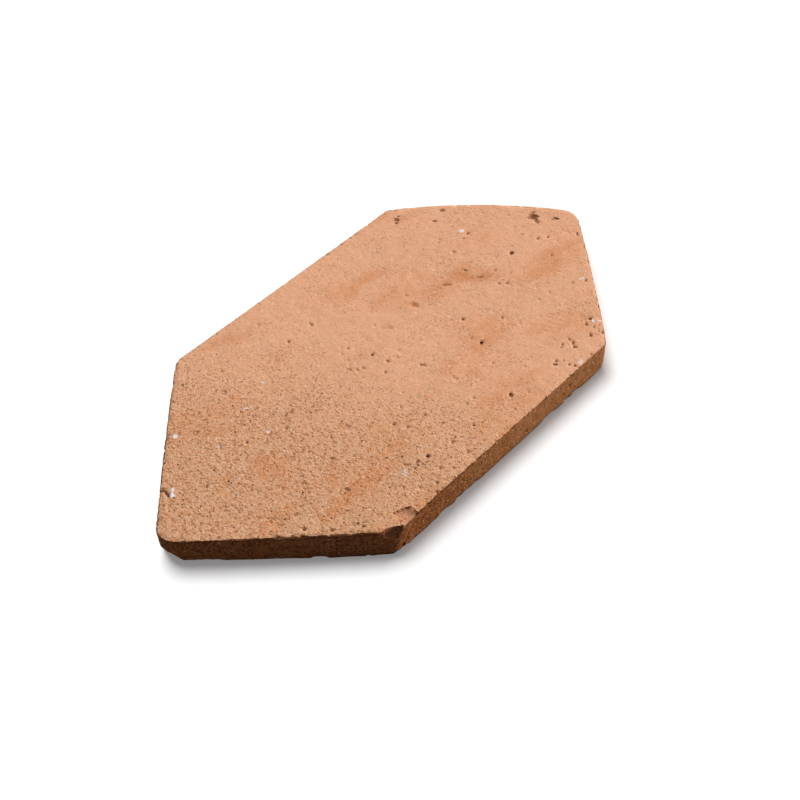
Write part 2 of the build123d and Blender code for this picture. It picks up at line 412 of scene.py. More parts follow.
def level_section(mesh, height):
    """The outline where a level plane cuts the mesh: the crossing point of each edge that passes
    through the plane, in order of angle round the middle, anticlockwise from -X."""
    points = mesh_points(mesh)
    ends = np.empty(len(mesh.edges) * 2, np.int32)
    mesh.edges.foreach_get("vertices", ends)
    start, end = points[ends[0::2]], points[ends[1::2]]
    crossing = (start[:, 2] - height) * (end[:, 2] - height) < 0
    start, end = start[crossing], end[crossing]
    part = (height - start[:, 2:]) / (end[:, 2:] - start[:, 2:])
    cut = (start + part * (end - start))[:, :2]
    cut = cut[np.argsort(np.arctan2(cut[:, 1], cut[:, 0]))]
    apart = np.linalg.norm(cut - np.roll(cut, 1, axis=0), axis=1) > MM
    return cut[apart]


def even_steps(outline, count):
    """The closed outline with this many points, at equal steps along it."""
    closed = np.vstack([outline, outline[:1]])
    travel = np.append(0, np.linalg.norm(np.diff(closed, axis=0), axis=1).cumsum())
    steps = np.linspace(0, travel[-1], count, endpoint=False)
    return np.column_stack([np.interp(steps, travel, axis) for axis in closed.T]), travel[-1]


def eased(outline, perimeter, width):
    """The closed outline rounded by a Gaussian of this width: each of its Fourier waves is weakened
    by exp(-2 (pi width frequency)^2)."""
    waves = np.fft.fft(outline @ (1, 1j))
    frequency = np.fft.fftfreq(len(outline), perimeter / len(outline))
    soft = np.fft.ifft(waves * np.exp(-2 * (pi * width * frequency) ** 2))
    return np.column_stack([soft.real, soft.imag])


def outward(outline):
    """The outward normal at each point of an anticlockwise outline: its chord turned by -90 degrees."""
    chord = np.roll(outline, -1, axis=0) - np.roll(outline, 1, axis=0)
    normal = np.column_stack([chord[:, 1], -chord[:, 0]])
    return normal / np.linalg.norm(normal, axis=1, keepdims=True)


def at_places(values, places):
    """Rows of a closed list at fractional places, each between its two neighbours."""
    index = np.arange(len(values) + 1)
    closed = np.vstack([values, values[:1]])
    return np.column_stack([np.interp(places % len(values), index, axis) for axis in closed.T])


class Outline:
    """The tile seen from above, in millimetres: its points, outward normals, and how far inside it a
    place is. It is cut at a share of the thickness, eased by a width, and has this many points."""

    section_height = 0.68
    easing = 1.1
    count = 4096

    def __init__(self, node):
        """Cuts the CAD node above its lower breaks and below its upper ones."""
        section = level_section(node.data, self.section_height * THICKNESS)
        even, perimeter = even_steps(section, self.count)
        self.points = eased(even, perimeter, self.easing)
        self.normals = outward(self.points)

    def shoulders(self):
        """The places of the four shoulders, anticlockwise from the front left one: the outline's
        farthest points along the bisectors of the flanks and the slopes."""
        across, along = cos(pi / 8), sin(pi / 8)
        ways = [(-along, -across), (along, -across), (along, across), (-along, across)]
        return [int(np.argmax(self.points @ way)) for way in ways]

    def ring(self, cells):
        """Points and normals of a ring that has so many steps along each flank and round each point."""
        corners = self.shoulders()
        ends = corners[1:] + [corners[0] + self.count]
        steps = [cells[0], cells[1], cells[0], cells[1]]
        stretches = [np.linspace(a, b, n, endpoint=False) for a, b, n in zip(corners, ends, steps)]
        places = np.concatenate(stretches)
        return at_places(self.points, places), at_places(self.normals, places)

    def inside(self, points):
        """How far each point lies inside the outline: what is left of the outline's own distance from
        the middle at the same angle, times the cosine between that way and the outline's normal."""
        reach = np.linalg.norm(self.points, axis=1)
        squareness = (self.points * self.normals).sum(axis=1) / reach
        angles = np.arctan2(self.points[:, 1], self.points[:, 0])
        order = np.argsort(angles)
        where = np.arctan2(points[:, 1], points[:, 0])
        found = [np.interp(where, angles[order], v[order], period=2 * pi) for v in (reach, squareness)]
        return (found[0] - np.hypot(points[:, 0], points[:, 1])) * found[1]


def filled(ring, cells):
    """A Coons patch over a ring: at (u, v) the front and back sides blended by v, plus the left and
    right sides blended by u, less the four corners blended by both."""
    along, across = cells
    closed = np.vstack([ring, ring[:1]])
    front = closed[: along + 1]
    right = closed[along : along + across + 1]
    back = closed[along + across : 2 * along + across + 1][::-1]
    left = closed[2 * along + across :][::-1]
    u = np.linspace(0, 1, along + 1)[None, :, None]
    v = np.linspace(0, 1, across + 1)[:, None, None]
    sides = (1 - v) * front[None] + v * back[None] + (1 - u) * left[:, None] + u * right[:, None]
    corners = (1 - v) * ((1 - u) * front[0] + u * front[-1]) + v * ((1 - u) * back[0] + u * back[-1])
    return (sides - corners).reshape(-1, ring.shape[1])


def patch_index(cells):
    """The indices of a patch's points, one row for each step across."""
    along, across = cells
    return np.arange((along + 1) * (across + 1)).reshape(across + 1, along + 1)


def ring_of(cells):
    """The indices of a patch's border, in the order of its ring."""
    index = patch_index(cells)
    return np.concatenate([index[0, :-1], index[:-1, -1], index[-1, :0:-1], index[:0:-1, 0]])


def patch_quads(cells):
    """The quads of a patch, anticlockwise from above."""
    index = patch_index(cells)
    return np.stack([index[:-1, :-1], index[:-1, 1:], index[1:, 1:], index[1:, :-1]], -1).reshape(-1, 4)


def strip_quads(upper, lower):
    """The quads between two rings of as many points, facing outwards."""
    return np.stack([upper, lower, np.roll(lower, -1), np.roll(upper, -1)], -1)


def fan_faces(outer, inner):
    """The triangles that join a ring to one with a third of its points, facing down: for each inner
    step, three fine steps share two corners."""
    a, b, c = outer[0::3], outer[1::3], outer[2::3]
    d = np.roll(a, -1)
    e, f = inner, np.roll(inner, -1)
    corners = [(a, e, b), (b, e, f), (b, f, c), (c, f, d)]
    return np.concatenate([np.stack(corner, -1) for corner in corners])


def rim_profile(form):
    """The rings from the face to the underside: (inset, height, outward and upward part of the
    normal). They follow a quarter circle over the arris, the upright side and a quarter circle
    round the lower edge."""
    arris, bevel = form.arris / MM, form.bevel / MM
    rows = [(arris + FACE_MARGIN, THICKNESS, 0, 1)]
    for turn in np.linspace(0, pi / 2, ARRIS_RINGS):
        inset, drop = arris * (1 - sin(turn)), arris * (1 - cos(turn))
        rows.append((inset, THICKNESS - drop, sin(turn), cos(turn)))
    heights = np.linspace(THICKNESS - arris, bevel, SIDE_RINGS + 2)[1:-1]
    rows += [(0, height, 1, 0) for height in heights]
    for turn in np.linspace(0, pi / 2, BEVEL_RINGS):
        rows.append((bevel * (1 - cos(turn)), bevel * (1 - sin(turn)), cos(turn), -sin(turn)))
    rows.append((bevel + UNDERSIDE_MARGIN, 0, 0, -1))
    return rows


def rim_ring(points, normals, row):
    """Points and normals of one ring of the profile."""
    inset, height, out, up = row
    places = np.column_stack([points - inset * normals, np.full(len(points), height)])
    ways = np.column_stack([out * normals, np.full(len(points), up)])
    return places, ways


def pressed_slab(form, outline):
    """The slab before any wear: a patch for the face, rings down the side, and a coarser patch for the
    underside that a fan of triangles joins to the last ring. Returns points, normals and faces."""
    profile = rim_profile(form)
    points, normals = outline.ring(FACE_CELLS)
    rings = [rim_ring(points, normals, row) for row in profile[:-1]]
    count = len(points)
    face = filled(rings[0][0], FACE_CELLS)
    coarse_cells = tuple(n // UNDERSIDE_BLOCK for n in FACE_CELLS)
    last = rim_ring(points, normals, profile[-1])[0][::UNDERSIDE_BLOCK]
    under = filled(last, coarse_cells)
    places = np.vstack([face] + [ring[0] for ring in rings[1:]] + [under])
    ways = np.vstack(
        [np.tile((0.0, 0.0, 1.0), (len(face), 1))]
        + [ring[1] for ring in rings[1:]]
        + [np.tile((0.0, 0.0, -1.0), (len(under), 1))]
    )
    starts = len(face) + count * np.arange(len(rings) - 1)
    loops = [ring_of(FACE_CELLS)] + [start + np.arange(count) for start in starts]
    first_under = starts[-1] + count
    quads = [patch_quads(FACE_CELLS)]
    quads += [strip_quads(upper, lower) for upper, lower in zip(loops[:-1], loops[1:])]
    quads.append(first_under + patch_quads(coarse_cells)[:, ::-1])
    fans = fan_faces(loops[-1], first_under + ring_of(coarse_cells))
    return places, ways, np.concatenate(quads), fans


def set_mesh(mesh, points, quads, triangles):
    """Fills an empty mesh with whole arrays, and shades it smooth."""
    corners = np.concatenate([quads.ravel(), triangles.ravel()])
    sizes = np.concatenate([np.full(len(quads), 4), np.full(len(triangles), 3)])
    mesh.vertices.add(len(points))
    mesh.vertices.foreach_set("co", (points * MM).ravel())
    mesh.loops.add(len(corners))
    mesh.loops.foreach_set("vertex_index", corners)
    mesh.polygons.add(len(sizes))
    mesh.polygons.foreach_set("loop_start", np.append(0, sizes.cumsum()[:-1]))
    mesh.polygons.foreach_set("use_smooth", np.ones(len(sizes), bool))
    mesh.update(calc_edges=True)
    mesh.validate()


def wrapped_on(piece, node):
    """The points and normals of the piece once each point has moved to the nearest place on the node,
    which gives it the node's breaks, chips and pits."""
    wrap = piece.modifiers.new("seat on the solid", "SHRINKWRAP")
    wrap.target = node
    wrap.wrap_method = "NEAREST_SURFACEPOINT"
    wrapped = piece.evaluated_get(bpy.context.evaluated_depsgraph_get()).to_mesh()
    points = mesh_points(wrapped)
    normals = np.empty(len(points) * 3)
    wrapped.vertex_normals.foreach_get("vector", normals)
    piece.to_mesh_clear()
    piece.modifiers.remove(wrap)
    return points, normals.reshape(-1, 3)


def oval_distance(points, x, y, long, wide, turn):
    """Distance from the middle of an oval, as a share of the oval's own reach that way: the offset, turned
    back by the oval's turn, over half its length and half its width."""
    dx, dy = points[:, 0] - x, points[:, 1] - y
    cosine, sine = cos(radians(turn)), sin(radians(turn))
    return np.hypot((dx * cosine + dy * sine) * 2 / long, (dy * cosine - dx * sine) * 2 / wide)


def hollow_fields(points):
    """The depth of the hollows, how far each point lies inside the nearest one, in millimetres, and how
    deep that one is. A hollow has a ragged rim, and sinks by a power of one less its squared distance.
    The power is a quarter of the length, so a small pit has steep sides and a long dent soft ones."""
    depth, nearest = np.zeros(len(points)), np.zeros(len(points))
    field = np.full(len(points), -FAR)
    ragged = RAGGED_SWING * smooth_noise(points[:, :2], RAGGED_WIDTH, RAGGED_SEED)
    for x, y, long, wide, deep, turn in HOLLOWS:
        distance = oval_distance(points, x, y, long, wide, turn) + ragged
        depth = np.maximum(depth, deep * np.clip(1 - distance**2, 0, None) ** (long / 4))
        margin = (1 - distance) * wide / 2
        nearest = np.where(margin > field, deep, nearest)
        field = np.maximum(field, margin)
    return depth, field, nearest


def lime_fields(points):
    """How far each point lies inside the nearest grain of lime, in millimetres, and below 0 outside, and
    how white that grain is."""
    field = np.full(len(points), -FAR)
    whiteness = np.zeros(len(points))
    for x, y, long, wide, turn, white in LIME_GRAINS:
        depth = (1 - oval_distance(points, x, y, long, wide, turn)) * wide / 2
        whiteness = np.where(depth > field, white, whiteness)
        field = np.maximum(field, depth)
    return field, whiteness


def spot_field(points, spots):
    """How strongly some spots colour each point: each spot's strength, fading from its middle out."""
    field = np.zeros(len(points))
    for x, y, long, wide, turn, strength in spots:
        distance = oval_distance(points, x, y, long, wide, turn)
        field = np.maximum(field, strength * ramp(distance, SPOT_RIM, SPOT_CORE))
    return field


def crack_distance(points):
    """Distance to the nearest of the crack's straight stretches, in millimetres: to the foot of the
    perpendicular, which is held between the stretch's ends."""
    nearest = np.full(len(points), np.inf)
    for start, end in zip(CRACK[:-1], CRACK[1:]):
        along = np.subtract(end, start)
        offset = points[:, :2] - start
        foot = np.clip(offset @ along / (along @ along), 0, 1)
        nearest = np.minimum(nearest, np.linalg.norm(offset - foot[:, None] * along, axis=1))
    return nearest


def void_depth(points, normals, spacing, radius, seed):
    """How deep each point must sink along its normal to leave the air bubbles in the clay. A cubic
    lattice holds one ball a cell, at a random place and of a random radius up to this one. A ray
    from a point at offset p from a ball of radius r leaves it after p.n + sqrt((p.n)^2 + r^2 - p^2)."""
    base = np.floor(points / spacing)
    deepest = np.zeros(len(points))
    for step in product((-1, 0, 1), repeat=3):
        cell = base + step
        jitter = np.column_stack([hashed(cell, seed + k) for k in range(3)])
        size = radius * hashed(cell, seed + 3) ** 2
        offset = points - (cell + jitter) * spacing
        along = (offset * normals).sum(axis=1)
        within = size**2 - (offset**2).sum(axis=1)
        depth = np.where(within > 0, along + np.sqrt(np.clip(along**2 + within, 0, None)), 0)
        deepest = np.maximum(deepest, depth)
    return deepest


def coarseness(points, seed):
    """From near 0 where the face is smooth and rosy, over its right half, to 1 where it is sandy and
    open, at the front left: a slope over the face with patches in it."""
    flat = points[:, :2]
    slope = COARSE_LEAST + COARSE_RISE * ramp(flat @ COARSE_WAY, SMOOTHEST, COARSEST)
    return np.clip(slope + PATCH_SWING * relief_noise(flat, "patches", seed), 0, 1)


def edge_wear(points, inside, form, seed):
    """The depth of the bites out of the upper and lower edges: noise above a threshold, times the
    edge's wear, fading with the distance from the edge by exp(-(distance / reach)^2)."""
    upper = np.hypot(inside, THICKNESS - points[:, 2])
    lower = np.hypot(inside, points[:, 2])
    nicks = ramp(relief_noise(points, "nicks", seed), *NICK_BAND)
    crumbs = as_share(relief_noise(points, "crumbs", seed))
    scallops = ramp(relief_noise(points, "scallops", seed), *SCALLOP_BAND)
    above = (nicks * form.arris_wear / MM + crumbs * CRUMB_DEPTH) * np.exp(-((upper / UPPER_REACH) ** 2))
    below = scallops * form.bevel_wear / MM * np.exp(-((lower / LOWER_REACH) ** 2))
    return above + below


def wiping_marks(points):
    """Faint ripples that a wet finger left near the front right shoulder: a sine across the stroke,
    within an oval that fades at its rim."""
    within = ramp(oval_distance(points, *WIPED), WIPED_RIM, WIPED_CORE)
    return RIPPLE_DEPTH * within * as_share(np.sin(points[:, :2] @ RIPPLE_TURN))


def face_share(ways):
    """1 on the face, easing to 0 over its arris and on the sides, by the upward part of the normal."""
    return ramp(ways[:, 2], *FACE_BAND)


def tile_relief(points, normals, ways, outline, form):
    """All that sinks the surface below the wrapped slab, in millimetres along its normal, and the
    fields that the clay's material reads, by name. Waves, lumps and grain are noise that is raised on
    level clay. Lumps and grain grow with its roughness, and the deeper of a bubble and a mark counts."""
    seed = form.seed * SEED_STEP
    inside = outline.inside(points)
    on_face = face_share(ways)
    coarse = coarseness(points, seed)
    level = np.abs(ways[:, 2])
    waves = as_share(relief_noise(points, "waves", seed)) * level
    lumps = (level + relief_noise(points, "lumps", seed)) / 2
    grain = (level + relief_noise(points, "grain", seed)) / 2
    uneven = (lumps * form.lumps + grain * form.grain) / MM
    rough = ROUGH_LEAST + ROUGH_COARSE * coarse + ROUGH_SIDE * (1 - level)
    bubbles = void_depth(points, normals, form.void_spacing / MM, form.voids / MM, seed + VOID_SEED)
    openness = OPEN_LEAST + OPEN_COARSE * ramp(coarse, *OPEN_BAND) + OPEN_SIDE * (1 - on_face)
    bubbles = np.minimum(bubbles, BUBBLE_LIMIT) * openness
    crack = crack_distance(points)
    hollows, pit, pit_depth = hollow_fields(points)
    marks = np.maximum(hollows, CRACK_DEPTH * ramp(crack, *CRACK_BAND)) * on_face
    wear = edge_wear(points, inside, form, seed)
    depth = waves * form.waves / MM + rough * uneven + np.maximum(bubbles, marks) + wear
    depth += wiping_marks(points) * on_face
    lime, whiteness = lime_fields(points)
    off_face = FAR * (1 - on_face)
    near_arris = points[:, 2] > THICKNESS - UPPER_REACH
    fields = {
        "coarse": coarse,
        "flank": 1 - ramp(level, *LEVEL_BAND),
        "foot": (1 - on_face) * np.exp(-((points[:, 2] / FOOT_REACH) ** 2)),
        "hollow": np.maximum(bubbles, marks),
        "pit": pit * on_face - off_face,
        "pit_depth": pit_depth,
        "lime": lime * on_face - off_face,
        "whiteness": whiteness,
        "stain": spot_field(points, STAINS) * on_face,
        "moss": spot_field(points, MOSS) * on_face,
        "crack": crack + off_face,
        "inset": np.where(near_arris, np.maximum(inside, 0), FAR),
        "worn": ramp(wear, *WORN_BAND) * ramp(points[:, 2], *UPPER_BAND),
    }
    return depth, fields


def placed(context, name, data):
    """A new object that shows this mesh, lamp or camera in the scene."""
    holder = bpy.data.objects.new(name, data)
    context.scene.collection.objects.link(holder)
    return holder


def press(form, piece):
    """Shapes the piece's mesh: the slab, seated on the CAD node, sunk by its relief and kept within the
    node's box. The breaks are where the seating moved a point of the sides or near the broken shoulder.
    Elsewhere on the face it sank the point into one of the node's pits, which crumbs partly fill."""
    outline = Outline(CAD_NODE)
    slab, ways, quads, fans = pressed_slab(form, outline)
    set_mesh(piece.data, slab, quads, fans)
    seated, normals = wrapped_on(piece, CAD_NODE)
    moved = np.linalg.norm(seated - slab, axis=1)
    depth, fields = tile_relief(seated, normals, ways, outline, form)
    shoulder = outline.points[outline.shoulders()[0]]
    near_shoulder = ramp(np.linalg.norm(slab[:, :2] - shoulder, axis=1), *SHOULDER_BAND)
    on_face = face_share(ways)
    fields["broken"] = ramp(moved, *BREAK_BAND) * np.maximum(near_shoulder, 1 - on_face)
    width, _, layers = RELIEF["grain"]
    crumbs = PIT_FILL * as_share(layered_noise(slab, width, form.seed, layers))
    pits = moved * on_face * (1 - near_shoulder)
    depth -= crumbs * pits
    fields["hollow"] = np.maximum(fields["hollow"], (1 - crumbs) * pits)
    clay = np.clip(seated - depth[:, None] * normals, LOWEST, HIGHEST)
    piece.data.vertices.foreach_set("co", (clay * MM).ravel())
    for name, values in fields.items():
        piece.data.attributes.new(name, "FLOAT", "POINT").data.foreach_set("value", values)
    piece.data.update()


class Nodes:
    """A material's or world's node tree, with a short way to add and link each kind of node."""

    def __init__(self, owner):
        """Takes the owner's tree and empties it."""
        owner.use_nodes = True
        self.tree = owner.node_tree
        self.tree.nodes.clear()

    def add(self, kind, settings=None, **sockets):
        """A node with these settings. A socket's value is a number, a colour or another's output."""
        node = self.tree.nodes.new("ShaderNode" + kind)
        for name, value in (settings or {}).items():
            setattr(node, name, value)
        for name, value in sockets.items():
            self.fill(node.inputs[name.replace("_", " ")], value)
        return node

    def fill(self, socket, value):
        """Links a socket or sets its value."""
        if isinstance(value, bpy.types.NodeSocket):
            self.tree.links.new(value, socket)
        else:
            socket.default_value = value

    def apply(self, kind, settings, *values):
        """The first output of a node whose inputs are filled in order."""
        node = self.add(kind, settings)
        for socket, value in zip(node.inputs, values):
            self.fill(socket, value)
        return node.outputs[0]

    def math(self, operation, *values, clamp=False):
        """The result of one operation on numbers."""
        return self.apply("Math", {"operation": operation, "use_clamp": clamp}, *values)

    def vector(self, operation, *values):
        """The result of one operation on vectors."""
        return self.apply("VectorMath", {"operation": operation}, *values)

    def between(self, value, low, high, to_low=0.0, to_high=1.0):
        """A number eased from one range to another, and held at its ends."""
        settings = {"interpolation_type": "SMOOTHSTEP"}
        return self.apply("MapRange", settings, value, low, high, to_low, to_high)

    def ease(self, value, name):
        """A number eased as the row of this name says."""
        return self.between(value, *EASES[name])

    def through(self, operation, first, *others):
        """One operation on two numbers, carried through a row of them."""
        for other in others:
            first = self.math(operation, first, other)
        return first

    def mix(self, factor, first, second, blend="MIX"):
        """Two colours mixed. The node's seventh and eighth inputs and third output are its colours."""
        node = self.add("Mix", {"data_type": "RGBA", "blend_type": blend})
        self.fill(node.inputs[0], factor)
        for socket, value in zip(node.inputs[6:8], (first, second)):
            self.fill(socket, value if isinstance(value, bpy.types.NodeSocket) else (*value, 1))
        return node.outputs[2]

    def coats(self, tint, clay, rows):
        """The tint under coats of the clay's colours. Each row is a colour's name and the shares whose
        product says how far it covers."""
        for name, *shares in rows:
            tint = self.mix(self.through("MULTIPLY", *shares), tint, getattr(clay, name))
        return tint

    def place(self, seed, step, squeeze=(1, 1, 1)):
        """Object coordinates, moved by a step for each seed and squeezed along each axis."""
        where = self.add("TexCoord").outputs["Object"]
        offset = [seed * part for part in step]
        return self.add("Mapping", Vector=where, Location=offset, Scale=squeeze).outputs[0]

    def noise(self, name):
        """The noise of this name, which lies round 0.5."""
        size, seed, layers, rough, *squeeze = NOISES[name]
        place = self.place(seed, NOISE_STEP, *squeeze)
        node = self.add("TexNoise", Vector=place, Scale=1 / (size * MM), Detail=layers, Roughness=rough)
        return node.outputs["Fac"]

    def pattern(self, name):
        """The noise of this name, eased by the row of the same name."""
        return self.ease(self.noise(name), name)

    def wander(self, name, start):
        """A number that the noise of this name moves up and down, by half its swing either way."""
        centred = self.math("SUBTRACT", self.noise(name), 0.5)
        return self.math("MULTIPLY_ADD", centred, SWINGS[name], start)

    def grains(self, name):
        """1 in each grain of this name and 0 between them. A share of the cells of a cell pattern hold a
        grain, of a random radius, with a soft edge. A finer noise shifts places, so grains are ragged."""
        spacing, largest, some, seed, edge, ragged = GRAINS[name]
        place = self.place(seed, GRAIN_STEP)
        finer = 1 / (RAGGED_SHARE * largest * MM)
        shift = self.add("TexNoise", Vector=place, Scale=finer, Detail=1.0).outputs["Color"]
        offset = self.vector("SUBTRACT", shift, (0.5, 0.5, 0.5))
        place = self.vector("MULTIPLY_ADD", offset, (ragged * MM,) * 3, place)
        cells = self.add("TexVoronoi", Vector=place, Scale=1 / (spacing * MM))
        chance = self.add("SeparateColor", Color=cells.outputs["Color"]).outputs
        held = self.math("LESS_THAN", chance["Green"], some)
        radius = self.through("MULTIPLY", chance["Red"], held, largest / spacing)
        inside = self.math("SUBTRACT", radius, cells.outputs["Distance"])
        return self.math("MULTIPLY", inside, spacing / edge, clamp=True)

    def field(self, name):
        """A number that the mesh carries at each point."""
        return self.add("Attribute", {"attribute_name": name}).outputs["Fac"]


def speckled(nodes, tint, fields):
    """The tint, lightened and darkened by fine noise, more where the clay is coarse or upright."""
    coarse_share = nodes.ease(fields["coarse"], "speckled")
    strength = nodes.math("MULTIPLY_ADD", fields["flank"], SPECKLE_SIDE, coarse_share)
    swing = nodes.math("MULTIPLY", nodes.wander("blotches", nodes.wander("speckle", 0.0)), strength)
    parts = {name: nodes.math("MULTIPLY_ADD", swing, gain, 1.0) for name, gain in SPECKLE_GAINS.items()}
    return nodes.mix(1.0, tint, nodes.add("CombineColor", **parts).outputs[0], "MULTIPLY")


def clay_colour(nodes, clay, fields, dents, pores):
    """The fired clay's colour: a body that turns sandy where it is coarse, and over it, in this order,
    streaks, sides, darker coarse sides, the foot, mottles, stains, growth, speckle, dents, grit, quartz,
    fresh breaks, worn edges, pores, hollows and lime. The sides and fresh breaks are partly painted shade,
    and the dents, pores and hollows are painted shade."""
    coarse, flank, hollow = fields["coarse"], fields["flank"], fields["hollow"]
    sandy = nodes.math("ADD", coarse, nodes.pattern("patches"), clamp=True)
    tint = nodes.mix(sandy, clay.body, clay.sandy)
    soaked = [
        ("burnt", nodes.pattern("streaks")),
        # The flank colour makes the upright sides darker, partly as painted shade.
        ("flank", flank, nodes.pattern("sides")),
        # The foot colour darkens the sides where the clay is coarse, and along their bottom.
        ("foot", flank, nodes.ease(coarse, "darker_coarse_sides")),
        ("foot", fields["foot"], STRENGTHS["foot"]),
        ("burnt", nodes.pattern("mottles")),
        ("stain", nodes.pattern("soaked"), fields["stain"]),
        ("moss", nodes.pattern("grown"), fields["moss"]),
    ]
    white = nodes.ease(nodes.wander("lime_rim", fields["lime"]), "lime")
    marks = [
        # Painted shade: dents take the grit colour.
        ("grit", dents, STRENGTHS["dents"]),
        ("grit", nodes.grains("grit"), nodes.ease(coarse, "gritty")),
        ("quartz", nodes.grains("quartz"), STRENGTHS["quartz"]),
        # Fresh breaks are partly painted shade, darker for the recessed flake.
        ("fresh", fields["broken"], nodes.ease(flank, "bare")),
        ("flank", fields["worn"], STRENGTHS["worn"]),
        # Painted shade: pores, pits, nicks and the crack take the darkest brown.
        ("pore", pores, STRENGTHS["pores"]),
        # Painted shade in hollows: the deeper the hollow, the darker the clay, shallow ones in the grit
        # colour and deep ones in the darkest brown.
        ("grit", nodes.ease(hollow, "shallow")),
        ("pore", nodes.ease(hollow, "deep")),
        ("lime", white, fields["whiteness"]),
    ]
    return nodes.coats(speckled(nodes, nodes.coats(tint, clay, soaked), fields), clay, marks)


def clay_pores(nodes, fields):
    """How open the clay is, from 0 to 1: the most of its round pores, the crumbled sides, the nicks of the
    arris, the pits and the crack. It sinks the bump, and the darkest brown over it is painted shade in these
    openings and along the arris."""
    coarse, flank = fields["coarse"], fields["flank"]
    both_sizes = nodes.math("MAXIMUM", nodes.grains("small_pores"), nodes.grains("large_pores"))
    round_pores = nodes.math("MULTIPLY", both_sizes, nodes.ease(nodes.math("ADD", coarse, flank), "open"))
    crumbs = nodes.through("MULTIPLY", nodes.pattern("crumbled"), flank, nodes.ease(coarse, "crumbly"))
    # Painted shade along the arris: dark nicks break up its lit edge.
    reach = nodes.math("SUBTRACT", nodes.math("MULTIPLY", coarse, NICKS_COARSE), fields["inset"])
    nicks = nodes.ease(nodes.wander("arris_rim", reach), "nicks")
    pits = nodes.ease(nodes.wander("pit_rim", fields["pit"]), "pit")
    pits = nodes.math("MULTIPLY", pits, nodes.ease(fields["pit_depth"], "pit_shade"))
    crack = nodes.ease(nodes.wander("crack_rim", fields["crack"]), "crack")
    return nodes.through("MAXIMUM", round_pores, crumbs, nicks, pits, crack)


def clay_dents(nodes, coarse):
    """How dented the clay is: short dashes, in clusters that run together where it is coarse. It sinks the
    bump, and the grit colour over it is painted shade in the dents.
    """
    sparse = nodes.ease(coarse, "sparse")
    clusters = nodes.between(nodes.noise("clusters"), *EASES["clusters"], sparse, CLUSTER_PEAK)
    return nodes.through("MULTIPLY", nodes.pattern("dashes"), clusters, nodes.ease(coarse, "dented"))


def clay_height(nodes, fields, dents, pores):
    """The height of the finest relief, in millimetres, which is too small for the mesh: coarse and fine
    grain, stronger where the clay is coarse or upright, on slow lumps, less the dents and pores."""
    coarse_share = nodes.ease(fields["coarse"], "grainy")
    strength = nodes.math("MULTIPLY_ADD", fields["flank"], GRAIN_SIDE, coarse_share)
    grain = nodes.math("MULTIPLY", nodes.noise("coarse_grain"), HEIGHTS["coarse_grain"])
    grain = nodes.math("MULTIPLY_ADD", nodes.noise("fine_grain"), HEIGHTS["fine_grain"], grain)
    grain = nodes.math("MULTIPLY", grain, strength)
    grain = nodes.math("MULTIPLY_ADD", nodes.noise("lumps"), HEIGHTS["lumps"], grain)
    dents = nodes.math("MULTIPLY", dents, HEIGHTS["dents"])
    pores = nodes.math("MULTIPLY", pores, HEIGHTS["pores"])
    return nodes.math("SUBTRACT", grain, nodes.math("MAXIMUM", dents, pores))


def fired_clay(clay):
    """The matt, porous, sandy clay of the whole tile."""
    material = bpy.data.materials.new("fired_clay")
    nodes = Nodes(material)
    names = "coarse flank foot hollow pit pit_depth lime whiteness stain moss crack inset broken worn"
    fields = {name: nodes.field(name) for name in names.split()}
    pores = clay_pores(nodes, fields)
    dents = clay_dents(nodes, fields["coarse"])
    height = clay_height(nodes, fields, dents, pores)
    bump = nodes.add("Bump", Strength=1.0, Distance=MM, Height=height)
    shader = nodes.add(
        "BsdfPrincipled",
        Base_Color=clay_colour(nodes, clay, fields, dents, pores),
        Roughness=clay.roughness,
        Normal=bump.outputs[0],
    )
    shader.inputs["Specular IOR Level"].default_value = GLOSS
    nodes.add("OutputMaterial", Surface=shader.outputs[0])
    return material


class TERRACOTTA_OT_press_tile(Operator):
    """Press the tile, wear it and give it its fired clay"""

    bl_idname = "terracotta.press_tile"
    bl_label = "Press Tile"

    def execute(self, context):
        piece = placed(context, "pressed_tile", bpy.data.meshes.new("pressed_tile"))
        press(context.scene.tile_form, piece)
        piece.data.materials.append(fired_clay(context.scene.fired_clay))
        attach(piece, "root")
        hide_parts("tile")
        return {"FINISHED"}


def seen_directly(nodes):
    """1 for what the camera sees, also in a gloss or through glass, and 0 for what lights the clay."""
    path = nodes.add("LightPath").outputs
    rays = ("Is Camera Ray", "Is Glossy Ray", "Is Transmission Ray")
    return nodes.through("MAXIMUM", *(path[ray] for ray in rays))


def floor_paper(studio):
    """White paper that keeps the shadow, and throws little light back on the tile."""
    material = bpy.data.materials.new("floor_paper")
    nodes = Nodes(material)
    white = nodes.add("BsdfDiffuse", Color=(1, 1, 1, 1)).outputs[0]
    glow = nodes.add("Emission", Strength=1.0).outputs[0]
    shown = nodes.apply("MixShader", {}, studio.glow, white, glow)
    hidden = nodes.add("BsdfDiffuse", Color=(studio.bounce,) * 3 + (1,)).outputs[0]
    both = nodes.apply("MixShader", {}, seen_directly(nodes), hidden, shown)
    nodes.add("OutputMaterial", Surface=both)
    return material


def lay_floor(context, studio):
    """A level floor under the tile, far wider than the view."""
    mesh = bpy.data.meshes.new("floor")
    corners = [(x * FLOOR_REACH, y * FLOOR_REACH, 0) for x, y in ((-1, -1), (1, -1), (1, 1), (-1, 1))]
    mesh.from_pydata(corners, [], [(0, 1, 2, 3)])
    mesh.materials.append(floor_paper(studio))
    floor = placed(context, "floor", mesh)
    return floor


def light_world(context, studio):
    """A white surround that lights the tile only as much as the fill says."""
    world = bpy.data.worlds.new("studio")
    nodes = Nodes(world)
    strength = nodes.between(seen_directly(nodes), 0.0, 1.0, studio.fill, 1.0)
    background = nodes.add("Background", Color=(1, 1, 1, 1), Strength=strength)
    nodes.add("OutputWorld", Surface=background.outputs[0])
    context.scene.world = world


